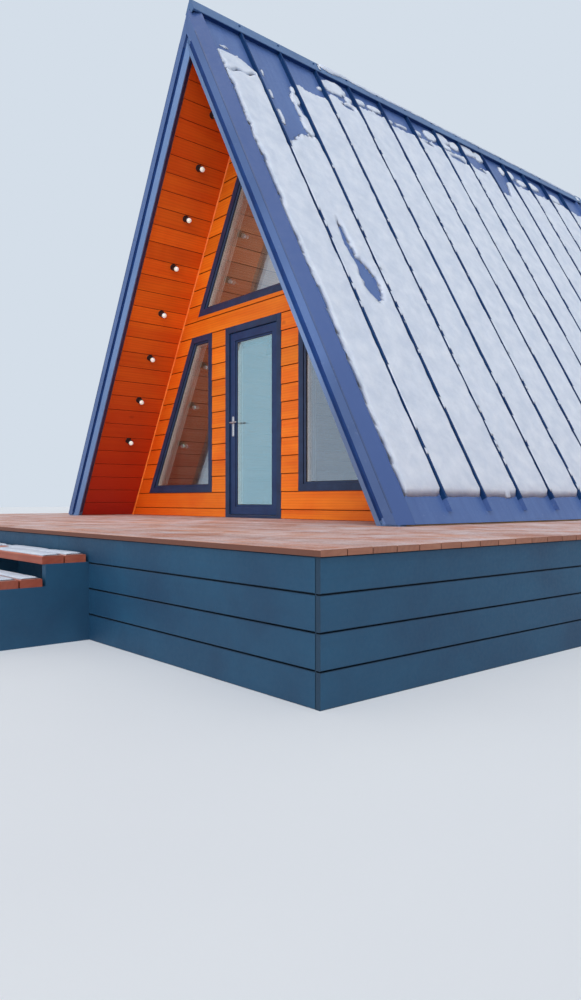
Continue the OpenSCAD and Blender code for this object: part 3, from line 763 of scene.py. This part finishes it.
# Pale glazing beads, which show through the edges of the panes
BEADS = [
    (-0.0005, 0.0232), (0.0012, 0.0236), (0.0012, 0.03), (0.0004, 0.0304), (0.0004, 0.0324), (0.0012, 0.0328),
    (0.0012, 0.043), (0.0004, 0.0434), (0.0004, 0.0456), (0.0034, 0.0472), (0.004, 0.048), (0.004, 0.059),
    (0.0026, 0.0596), (0.0026, 0.0616), (0.004, 0.0622), (0.004, 0.073), (0.0026, 0.0736), (0.0026, 0.0756),
    (0.004, 0.0762), (0.004, 0.085), (0.003, 0.0866), (-0.0005, 0.0866)]
BEAD_EDGES = [0.5, 0, 0.8, 1, 0.8, 0, 0.8, 1, 0.8, 0, 0, 0.8, 1, 0.8, 0, 0.8, 1, 0.8, 0, 0, 0.3, 1]
for end, rear in ENDS:
    framed(f"{end}_glazing_beads", CREAM, PANES, [(0.09 + i, y) for i, y in BEADS], rear, BEAD_EDGES)
framed("door_glazing_bead", CREAM, LEAF, [(0.105 + i, y) for i, y in BEADS], edges=BEAD_EDGES, body="door")

# Slim boards that line the reveals
b = Build()
for _, rear in ENDS:
    for outline in PANES:
        for k in range(5):
            y = 0.087 + k * 0.024
            slat = [(0.0175, y), (0.0205, y + 0.002), (0.0205, y + 0.019), (0.0175, y + 0.021)]
            profile(b, (outline,), slat, rear, [0.9, 0, 0.9, 0])
b.make("reveal_boards", REVEAL, "reveal_wood")

LEAF_STEPS = [
    (0, 0.085), (0, 0.006), (0.001, 0.0038), (0.0032, 0.003), (0.08, 0.003), (0.0828, 0.0038),
    (0.0842, 0.0062), (0.085, 0.016), (0.0862, 0.0172), (0.088, 0.017), (0.101, 0.0205), (0.1042, 0.0218),
    (0.105, 0.0228), (0.105, 0.085)]
framed("door_leaf_profile", DOOR, LEAF, LEAF_STEPS, edges=FRAME_EDGES, body="door", stands_for=["door_leaf"])
framed("door_glass_gasket", RUBBER, LEAF,
       [(0.1042, 0.019), (0.1085, 0.0205), (0.1095, 0.0229), (0.1042, 0.0229)], body="door")
# Seal between the leaf and its frame, carried by the frame
framed("door_seal", RUBBER, LEAF, [(-0.005, 0.06), (-0.005, 0.052), (-0.002, 0.054), (-0.002, 0.058)])
# Raised edge of the door frame
b = Build()
place = on_gable()
marks = [0.6, 0.3, 0, 0.3, 0.6, 0]
for x in (-JAMB_X, OPENING_X):
    b.prism(lambda u, v, w: place(v, u, w), board(x + 0.004, x + 0.066, 0.011, 0.014, 0.0015),
            LEAF_LOW, 2.7, 0.5, marks)
b.prism(place, board(2.64, 2.701, 0.011, 0.014, 0.0015), -OPENING_X, OPENING_X, 0.5, marks)
b.make("door_frame_edges", NAVY, "frame_navy")
# Metal strip on the threshold
b = Build()
section = [(-0.01, 0.6545), (-0.01, 0.6555), (-0.008, 0.656)]
for k in range(7):
    y = 0.09 + k * 0.014
    section += [(y, 0.6552), (y + 0.003, 0.6566), (y + 0.008, 0.6566), (y + 0.011, 0.6552)]
section += [(0.19, 0.6552), (0.19, 0.6545)]
b.prism(on_deck, section, -LEAF_X, LEAF_X)
b.make("threshold_strip", STEEL, "hardware_steel")


def rounded(w, h, r, n=6):
    """Rectangle of half width w and half height h with round corners."""
    corners = ((w - r, h - r, 0), (-w + r, h - r, 90), (-w + r, -h + r, 180), (w - r, -h + r, 270))
    return [(x + r * math.cos(a), z + r * math.sin(a)) for x, z, start in corners
            for a in (math.radians(start + 90 * k / n) for k in range(n + 1))]


def handle(b, face_y, out):
    """Lever on a long plate; out is -1 outside and +1 inside."""
    lever_x, lever_z, drop = -0.3475, 1.655, 0.0396
    at = lambda x, t, z: (lever_x + x, Y0 + face_y + out * t, lever_z + z)
    b.rings([[at(x, t, z - drop) for x, z in rounded(0.017 - k, 0.11 - k, 0.012 - k)]
             for t, k in ((0, 0), (0.0055, 0), (0.0075, 0.0015), (0.008, 0.0035))])
    # Points of the lever with their radii
    lever = (
        (0, 0, 0.009), (0, 0.03, 0.009), (0, 0.041, 0.009), (0.003, 0.046, 0.0088), (0.01, 0.0485, 0.0086),
        (0.03, 0.048, 0.0085), (0.1, 0.046, 0.0082), (0.107, 0.046, 0.0065), (0.11, 0.046, 0.003))
    b.tube([at(x, t, 0) for x, t, _ in lever], [r for _, _, r in lever])
    # Rose under the lever, and the lock below it
    b.tube([at(0, t, 0) for t in (0.007, 0.012, 0.013)], [0.0135, 0.0135, 0.011])
    b.tube([at(0, t, -0.085) for t in (0.007, 0.0105, 0.011)], [0.0085, 0.0085, 0.007])


b = Build()
handle(b, 0.003, -1)
handle(b, 0.085, 1)
b.make("door_lever", STEEL, "hardware_steel", "door", stands_for=["door_handle"])

# Folded seams of the roof sheets, by half their section. Their dark metal is painted shade of their sides.
SEAM_HALF = [
    (0.0115, 0.1762), (0.0115, 0.1772), (0.0082, 0.1776), (0.008, 0.202), (0.01, 0.203), (0.01, 0.2174),
    (0.0085, 0.219)]
for side, word in SIDES:
    b = Build()
    place = on_slope(side)
    for y in SEAMS:
        section = mirrored([(y - t, d) for t, d in SEAM_HALF], 2 * y)
        b.prism(lambda u, v, w: place(v, u, w), section, CAP_TOP + 0.02, foot(0.104))
    b.make(f"seam_folds_{word}", SEAM, "roof_metal")

# Ridge cap: every other sheet laps the next, and the edges are hemmed
b = Build()
cap_ends = [CAP_Y, -0.25, 1.75, 3.75, 5.75, LENGTH - CAP_Y]
for y0, y1 in stretches(cap_ends)[::2]:
    for side, _ in SIDES:
        lap = board(CAP_TOP + 0.001, CAP_TOP + 0.146, RIDGE_D - 0.001, RIDGE_D + 0.0012, 0.0008)
        b.prism(on_slope(side), lap, y0, y1)
hem = [
    (-0.009, -0.0005), (-0.007, 0.0022), (-0.001, 0.0024), (0.0006, 0), (0.0006, -0.006), (-0.004, -0.0075),
    (-0.006, -0.006)]
wedge = [(CAP_Y, 0.2022), (-0.786, 0.2186), (-0.69, 0.2186), (-0.69, 0.2166)]
for side, _ in SIDES:
    place = on_slope(side)
    for y0, y1 in stretches(cap_ends):
        b.rings([[place(y, CAP_EDGE + s, RIDGE_D + d) for s, d in hem] for y in (y0 + 0.001, y1 - 0.001)])
    # The flange's end is turned down on the verge cap
    for _, rear in ENDS:
        b.rings([[place(from_end(y, rear), CAP_EDGE - s, d) for y, d in wedge] for s in (0.012, 0.002)])
b.make("ridge_laps", RIDGE, "roof_metal")

b = Build()
for side, _ in SIDES:
    place = on_slope(side)
    spots = [(y - 0.02, s, 0.001) for y in cap_ends[1:-1] for s in (0.035, 0.115)]
    spots += [(y, 0.128, 0) for y in SEAMS]
    spots += [(y, s, 0.001) for y in (CAP_SEAT_Y, LENGTH - CAP_SEAT_Y) for s in (0.03, 0.125)]
    for y, s, lift in spots:
        b.rivet(place(y, CAP_TOP + s, RIDGE_D + lift), (side * S, 0, C))
for rear, side in CORNERS:
    for k in range(14):
        centre = on_slope(side)(from_end(VERGE_Y + 0.006, rear), 0.2 + k * 0.37, 0.075)
        b.rivet(centre, (0, 1 if rear else -1, 0))
b.make("roof_rivets", RIDGE, "roof_metal", smooth=True)


def verge_strips(name, material, slot, sections, spans):
    """Runs sections of (place along the cabin, place outwards) down both slopes at both ends."""
    b = Build()
    for rear, side in CORNERS:
        place = on_slope(side)
        for span in spans:
            for section in sections:
                b.rings([[place(from_end(y, rear), s, d) for y, d in section] for s in span])
    b.make(name, material, slot)


# Dark strips of painted shade in the groove above the barge board's lip, and on the verge cap's drip edge
GROOVES = (
    [(-0.8134, 0.0176), (-0.8138, 0.019), (-0.8138, 0.053), (-0.8, 0.0534), (-0.8, 0.0176)],
    [(-0.8254, 0.0522), (-0.8262, 0.053), (-0.8204, 0.066), (-0.8198, 0.072), (-0.818, 0.072),
     (-0.818, 0.0522)])
verge_strips("verge_groove_shade", GROOVE, "verge_metal", GROOVES, ((0.03, foot(0.03)),))
# Dark strips of painted shade under the verges, between the lip and the soffit
UNDERSIDE = [(-0.77, -0.031), (-0.7707, -0.035), (-0.769, -0.0346), (-0.722, -0.0036), (-0.72, 0.002)]
verge_strips("verge_shade_strips", UNDER, "barge_paint", (UNDERSIDE,), ((0.07, foot(0.05)),))
# Laps of the verge caps, and the rolled edges along their tops, which take a darker copy of the verge metal
# as painted shade of the fold
LAP = [(-0.819, 0.068), (-0.82, 0.068), (-0.82, 0.1548), (-0.819, 0.1562)]
verge_strips("verge_laps", VERGE, "verge_metal", (LAP,), ((-0.05, 1.95), (3.9, foot(0.02))))
HEM_EDGE = [
    (-0.8185, 0.149), (-0.8206, 0.1496), (-0.8208, 0.156), (-0.82, 0.1576), (-0.812, 0.1614),
    (-0.8112, 0.1588)]
verge_strips("verge_hems", HEM, "verge_metal", (HEM_EDGE,), ((0, foot(0.02)),))

# Rings round the soffit lights, at the holder's plate and at the globe
LIGHT_RINGS = (
    ((0.0365, 0.004), (0.0368, 0.0085), (0.035, 0.0102), (0.0322, 0.0106), (0.0305, 0.012), (0.0298, 0.004)),
    ((0.0298, 0.056), (0.031, 0.0566), (0.0314, 0.062), (0.0308, 0.0655), (0.0292, 0.0672), (0.0262, 0.066)))
b = Build()
for side, _ in SIDES:
    place = on_slope(side)
    for k in range(8):
        s = 0.505 + 0.538 * k
        for ring in LIGHT_RINGS:
            b.rings([[place(-0.35 + r * math.cos(a), s + r * math.sin(a), -d) for a in turn(24)]
                     for r, d in ring], closed=True)
b.make("light_rings", BLACK, "light_black", smooth=True)

# Strip that closes the seams under the ridge cap, coloured dark as painted shade of the void under its flange
b = Build()
for side, _ in SIDES:
    strip = board(CAP_EDGE - 0.016, CAP_EDGE - 0.013, TOP_D - 0.0005, RIDGE_D - 0.007, 0.0005)
    b.prism(on_slope(side), strip, CAP_SEAT_Y, LENGTH - CAP_SEAT_Y)
b.make("ridge_closure_shade", GROOVE, "roof_metal")


# Snow
def value_noise(x, y, seed):
    """Smooth noise from 0 to 1 on a lattice of random values."""
    n = 97
    g = np.random.RandomState(seed).rand(n, n)
    xi, yi = np.floor(x).astype(int), np.floor(y).astype(int)
    fx, fy = x - xi, y - yi
    fx, fy = fx * fx * (3 - 2 * fx), fy * fy * (3 - 2 * fy)
    near, far = (g[xi % n, j % n] * (1 - fx) + g[(xi + 1) % n, j % n] * fx for j in (yi, yi + 1))
    return near * (1 - fy) + far * fy


def fractal(x, y, seed, steps=4):
    """Noise of several sizes, from -0.5 to 0.5."""
    out, amp, total = 0, 1, 0
    for k in range(steps):
        out = out + amp * value_noise(x * 2 ** k, y * 2 ** k, seed + k)
        total += amp
        amp *= 0.55
    return out / total - 0.5


def bell(x, centre, width):
    return np.exp(-((x - centre) / width) ** 2)


def snow_field(b, place, us, vs, depth, floor_w, thick, soft=0.022):
    """Snow over a grid: depth is the signed distance inside its edge, in metres."""
    U, V = np.meshgrid(us, vs, indexing="ij")
    F = depth(U, V)
    inside = F > 0
    # Points just outside the edge move onto it
    shift_u, shift_v, count = np.zeros((3,) + F.shape)
    for step, axis in ((1, 0), (-1, 0), (1, 1), (-1, 1)):
        next_f, next_u, next_v = (np.roll(a, -step, axis) for a in (F, U, V))
        ok = ~inside & (next_f > 0)
        (ok.T if axis else ok)[-1 if step > 0 else 0] = False
        t = np.where(ok, -F / np.maximum(next_f - F, 1e-6), 0) * 0.9
        shift_u += t * (next_u - U)
        shift_v += t * (next_v - V)
        count += ok
    moved_u, moved_v = U + shift_u / np.maximum(count, 1), V + shift_v / np.maximum(count, 1)
    # Cells with a corner inside are kept, with all four of their points
    corners = [(i, j) for i in (slice(None, -1), slice(1, None)) for j in (slice(None, -1), slice(1, None))]
    keep = np.logical_or.reduce([inside[c] for c in corners])
    used = np.zeros(F.shape, bool)
    for c in corners:
        used[c] |= keep
    border = np.ones(F.shape, bool)
    border[1:-1, 1:-1] = False
    rise = np.where(inside, thick(U, V) * np.sqrt(np.clip(F / soft, 0, 1)), 0)
    rise = np.where(border, np.minimum(rise, 0.004), rise)
    top, bottom = -np.ones((2,) + F.shape, int)
    verts = []
    for p in zip(*np.nonzero(used)):
        top[p] = bottom[p] = len(verts)
        verts.append(place(moved_u[p], moved_v[p], floor_w + rise[p] + 0.0006))
        if inside[p] and not border[p]:
            bottom[p] = len(verts)
            verts.append(place(moved_u[p], moved_v[p], floor_w + 0.0004))
    faces = []
    for i, j in zip(*np.nonzero(keep)):
        cell = ((i, j), (i + 1, j), (i + 1, j + 1), (i, j + 1))
        upper, lower = ([int(points[p]) for p in cell] for points in (top, bottom))
        faces.append(upper)
        if set(lower) != set(upper):
            faces.append(lower[::-1])
    b.add(verts, faces)


def blob(U, V, u, v, ru, rv, seed):
    """Signed distance inside a ragged patch."""
    r = np.sqrt(((U - u) / ru) ** 2 + ((V - v) / rv) ** 2)
    return (1 - r + 0.55 * fractal(U * 14, V * 14, seed)) * min(ru, rv)


# Upper edge of the snow on each pan, down the slope
PAN_TOPS = [0.2, 1.05, 0.2, 0.06, 0, 0.07, 0.03, 0.03, 0.06, 0.1, 0.08, 0.06, 0.05, 0.1]
# Patches above that edge: places along and down the slope, and half sizes
PATCHES = [
    (-0.52, 0.1, 0.05, 0.012), (-0.385, 0.165, 0.022, 0.009), (-0.668, 0.62, 0.008, 0.17),
    (0.25, 0.47, 0.06, 0.1), (0.235, 0.64, 0.04, 0.09), (0.285, 0.32, 0.03, 0.06), (0.27, 0.86, 0.08, 0.15),
    (-0.092, 0.24, 0.013, 0.05), (-0.098, 0.55, 0.017, 0.08), (-0.092, 0.88, 0.024, 0.12),
    (0.8, 0.02, 0.04, 0.03), (0.36, 0.03, 0.03, 0.05), (1.08, -0.13, 0.2, 0.11), (1.27, -0.02, 0.06, 0.06),
    (1.5, -0.1, 0.08, 0.05), (1.75, -0.1, 0.12, 0.05), (1.98, 0, 0.05, 0.025), (2.2, -0.02, 0.1, 0.025),
    (2.5, -0.04, 0.08, 0.05), (2.8, -0.12, 0.12, 0.09), (3.05, -0.18, 0.16, 0.1), (3.32, -0.16, 0.1, 0.08),
    (3.12, -0.04, 0.08, 0.05), (3.62, -0.2, 0.16, 0.1), (3.88, -0.18, 0.1, 0.09), (4.4, -0.12, 0.06, 0.08),
    (4.6, -0.12, 0.1, 0.08), (4.85, -0.05, 0.12, 0.06), (5.2, -0.1, 0.14, 0.07), (5.75, -0.05, 0.14, 0.08),
]
# Bare places below it
BARE = [
    (0.03, 2.52, 0.05, 0.26), (0.12, 2.95, 0.12, 0.24), (1.2, 0.14, 0.1, 0.04), (2.66, 0.1, 0.09, 0.035),
    (3.25, 0.13, 0.16, 0.05), (3.72, 0.12, 0.16, 0.05),
]


def pan_snow(b, side, k):
    """Snow on one pan, on a finer grid towards the camera."""
    fine = 2 if side < 0 else 1.1 if k < 5 else 1.4 if k < 9 else 1.8
    y0 = SEAMS[k - 1] + 0.01 if k else VERGE_Y + 0.135
    y1 = SEAMS[k] - 0.01 if k < len(SEAMS) else LENGTH - VERGE_Y - 0.135
    top, low = PAN_TOPS[k], foot(0.012) - 0.115
    cut = [(-0.3, 0.55, 0.011), (0.55, 1.25, 0.02), (1.25, 3.4, 0.04), (3.4, low, 0.06)]
    vs = np.concatenate([np.arange(lo, hi, step * fine) for lo, hi, step in cut] + [[low]])
    rim = np.array([0.0015, 0.006, 0.011, 0.017, 0.024])
    middle = np.linspace(y0 + 0.034, y1 - 0.034, max(6, int((y1 - y0) / (0.02 * fine))))
    us = np.concatenate([y0 + rim, middle, y1 - rim[::-1]])
    here = lambda places: [p for p in places if y0 < p[0] < y1]

    def depth(U, V):
        ragged = 0.055 * fractal(U * 9, V * 9, 11 + k) + 0.05 * fractal(U * 44, V * 20, 211 + k, 3)
        near = 0.001 + 0.008 * (fractal(V * 6, V * 6, 31 + k, 3) + 0.5)
        far = 0.001 + 0.016 * np.clip(fractal(V * 9, V * 9, 61 + k) + 0.3, 0, 1)
        upper = V - top - (2 if k else 0.5) * ragged
        if k == 0:
            upper -= 0.9 * np.clip(U + 0.36, 0, 1)
            wander = 0.06 * (fractal(V * 4, V * 4, 35) + 0.3) + 0.05 * fractal(U * 20, V * 14, 39, 3)
            near = 0.045 + wander * np.clip((V - 0.3) * 4, 0, 1)
        elif k == 1:
            upper -= 0.25 * np.clip((0.1 - U) * 4, 0, 1)
        elif k == 9:
            upper -= 0.36 * np.clip((4.36 - U) * 7, 0, 1)
        f = np.minimum(upper, np.minimum(U - y0 - near, y1 - far - U))
        for n, bare in enumerate(here(BARE)):
            f = np.minimum(f, -blob(U, V, *bare, 500 + 7 * k + n))
        free = np.minimum(U - y0 - 0.002, y1 - 0.004 - U)
        for n, patch in enumerate(here(PATCHES)):
            f = np.maximum(f, np.minimum(blob(U, V, *patch, 300 + 7 * k + n), free))
        if k == 0:  # a slit where the snow has slipped
            middle_v = 0.4 - 0.22 * (U + 0.25) + 0.02 * np.sin(U * 30) + 0.03 * fractal(U * 12, V * 0, 5)
            slit = np.abs(V - middle_v) - 0.011
            f = np.minimum(f, np.where((U > y0 + 0.05) & (U < y1 - 0.03), slit, 1))
        return np.minimum(f, low - 0.02 - V + 0.03 * fractal(U * 8, V * 8, 91 + k))

    def thick(U, V):
        h = 0.03 + 0.011 * (fractal(U * 3, V * 3, 401 + k) + 0.5) + 0.005 * fractal(U * 22, V * 22, 431 + k)
        return h * np.clip(0.55 + 1.2 * (V - top + 0.1), 0.55, 1)

    snow_field(b, on_slope(side), us, vs, depth, TOP_D, thick, 0.012)


for side, word in SIDES:
    b = Build()
    for k in range(len(PAN_TOPS)):
        pan_snow(b, side, k)
    b.make(f"roof_snow_{word}", SNOW, smooth=True)


def seam_snow(b, y, k):
    """Thin snow that has stuck to the top of a seam."""
    def depth(U, V):
        cover = 0.05 * (fractal(V * 2.2, U * 0 + k, 611) + fractal(V * 11, U * 0 + k, 631, 2) * 0.6 - 0.03)
        return np.minimum(cover, 0.0124 - np.abs(U - y))

    us = y + np.array([-0.0125, -0.008, 0, 0.008, 0.0125])
    vs = np.arange(max(PAN_TOPS[k], PAN_TOPS[k + 1]) + 0.25, 5.15, 0.035)
    snow_field(b, on_slope(1), us, vs, depth, 0.2188, lambda U, V: 0.007, 0.006)


b = Build()
for k, y in enumerate(SEAMS):
    seam_snow(b, y, k)
b.make("seam_snow", SNOW, smooth=True)


def ridge_snow(b, side):
    """Thin snow along the ridge cap, deepest near its front."""
    def depth(U, V):
        reach = 0.03 + 0.03 * fractal(U * 4, U * 0 + side, 77) + 0.02 * fractal(U * 19, U * 0 + side, 79)
        reach = reach + 0.045 * bell(U, 1.12, 0.16) + 0.02 * bell(U, 1.75, 0.2)
        return (reach - (V - CAP_TOP)) * np.clip((U - 0.93) * 12, -1, 1) * np.clip((6.6 - U) * 6, -1, 1)

    def thick(U, V):
        return 0.01 + 0.01 * bell(U, 1.12, 0.2) + 0.006 * fractal(U * 14, V * 14, 83)

    us, vs = np.arange(0.9, 6.7, 0.022), CAP_TOP + np.linspace(0, 0.12, 13)
    snow_field(b, on_slope(side), us, vs, depth, RIDGE_D + 0.001, thick, 0.02)


b = Build()
for side, _ in SIDES:
    ridge_snow(b, side)
b.make("ridge_snow", SNOW, smooth=True)


def step_snow(b, x0, x1, y, z, seed, shift):
    """Thin snow on the board that is shift behind a tread's edge y."""
    def depth(U, V):
        edge = np.minimum(V - (y + shift) - 0.012, y + shift + BOARD - 0.006 - V)
        return np.minimum(edge, 0.12 * fractal(U * 3.2, V * 3.2, seed) + 0.016)

    us, vs = np.arange(x0, x1, 0.03), np.linspace(y + 0.004, y + 0.121, 9) + shift
    snow_field(b, on_deck, us, vs, depth, z, lambda U, V: 0.012)


b = Build()
for k in range(1, STEPS + 1):
    for n, (x0, x1) in enumerate(((-2.18, -1), (-0.9, 0.4), (0.5, 2.18)), 1):
        for shift in (0, BOARD_PITCH):
            step_snow(b, x0, x1, *tread(k), 500 + n + k * 5, shift)
b.make("step_snow", SNOW, smooth=True)

# Camera
FOCAL, PHOTO_HEIGHT = 756.9, 1000  # in pixels
cam_data = bpy.data.cameras.new("camera")
cam_data.sensor_fit = "VERTICAL"
cam_data.sensor_height = 36
cam_data.lens = cam_data.sensor_height * FOCAL / PHOTO_HEIGHT
cam = bpy.data.objects.new("camera", cam_data)
scene.collection.objects.link(cam)
cam.location = (6.315, -4.91 + Y0, DECK + 0.19)
cam.rotation_euler = (math.radians(90), 0, math.radians(49.28))
scene.camera = cam

# World: soft light, and a pale background where it is seen, mirrored or through glass
world = bpy.data.worlds.new("world")
world.use_nodes = True
sky = Nodes(world.node_tree)
back = sky.tree.nodes["Background"]
back.inputs["Color"].default_value = (0.93, 0.96, 1, 1)
back.inputs["Strength"].default_value = 0.47
seen = sky.node("Background", {"Color": lin(212, 222, 233), "Strength": 1})
rays = [sky.node("LightPath", {}, f"Is {kind} Ray") for kind in ("Camera", "Glossy", "Transmission")]
shown = sky.math("ADD", sky.math("ADD", rays[0], rays[1], True), rays[2], True)
sky.put(sky.tree.nodes["World Output"].inputs["Surface"], sky.shaders(shown, back.outputs[0], seen))
scene.world = world


def light(name, kind, energy, color, way, **settings):
    """A soft light that shines along way."""
    data = bpy.data.lights.new(name, kind)
    data.energy = energy
    data.color = color
    for key, value in settings.items():
        setattr(data, key, value)
    ob = bpy.data.objects.new(name, data)
    ob.rotation_euler = mathutils.Vector(way).to_track_quat("-Z", "Y").to_euler()
    scene.collection.objects.link(ob)
    return ob


def panel(name, power, size, at, to, color):
    """A square light that shines from at towards to, and is not seen itself."""
    ob = light(name, "AREA", power, color, mathutils.Vector(to) - mathutils.Vector(at), size=size)
    ob.location = at
    ob.visible_camera = False
    ob.visible_glossy = False


light("sky_light", "SUN", 0.92, (1, 0.98, 0.96), (-0.34, 0.22, -1), angle=math.radians(36))
light("front_light", "SUN", 2.6, (1, 0.98, 0.96), (-0.52, 0.82, -0.1), angle=math.radians(80))
panel("loft_light", 7.5, 0.7, (0.35, Y0 + 1.3, 3.3), (-1, Y0 + 0.9, 3.2), (1, 0.96, 0.9))
panel("room_light", 4.2, 0.7, (-0.3, Y0 + 1.4, 1.7), (-1.7, Y0 + 0.8, 1.6), (1, 0.95, 0.88))
panel("porch_light", 14, 1.4, (1.5, Y0 - 1.9, 1.5), (-1.2, Y0 - 0.4, 3.1), (1, 0.98, 0.95))

bpy.ops.mesh.primitive_plane_add(size=160)
floor = bpy.context.object
floor.name = "floor"
ground = Mat("floor", 0.9)
tone = ground.ramp(ground.noise(0.4, 3), 0.3, 0.7, (226, 231, 238), (231, 236, 242))
floor.data.materials.append(ground.done(tone))
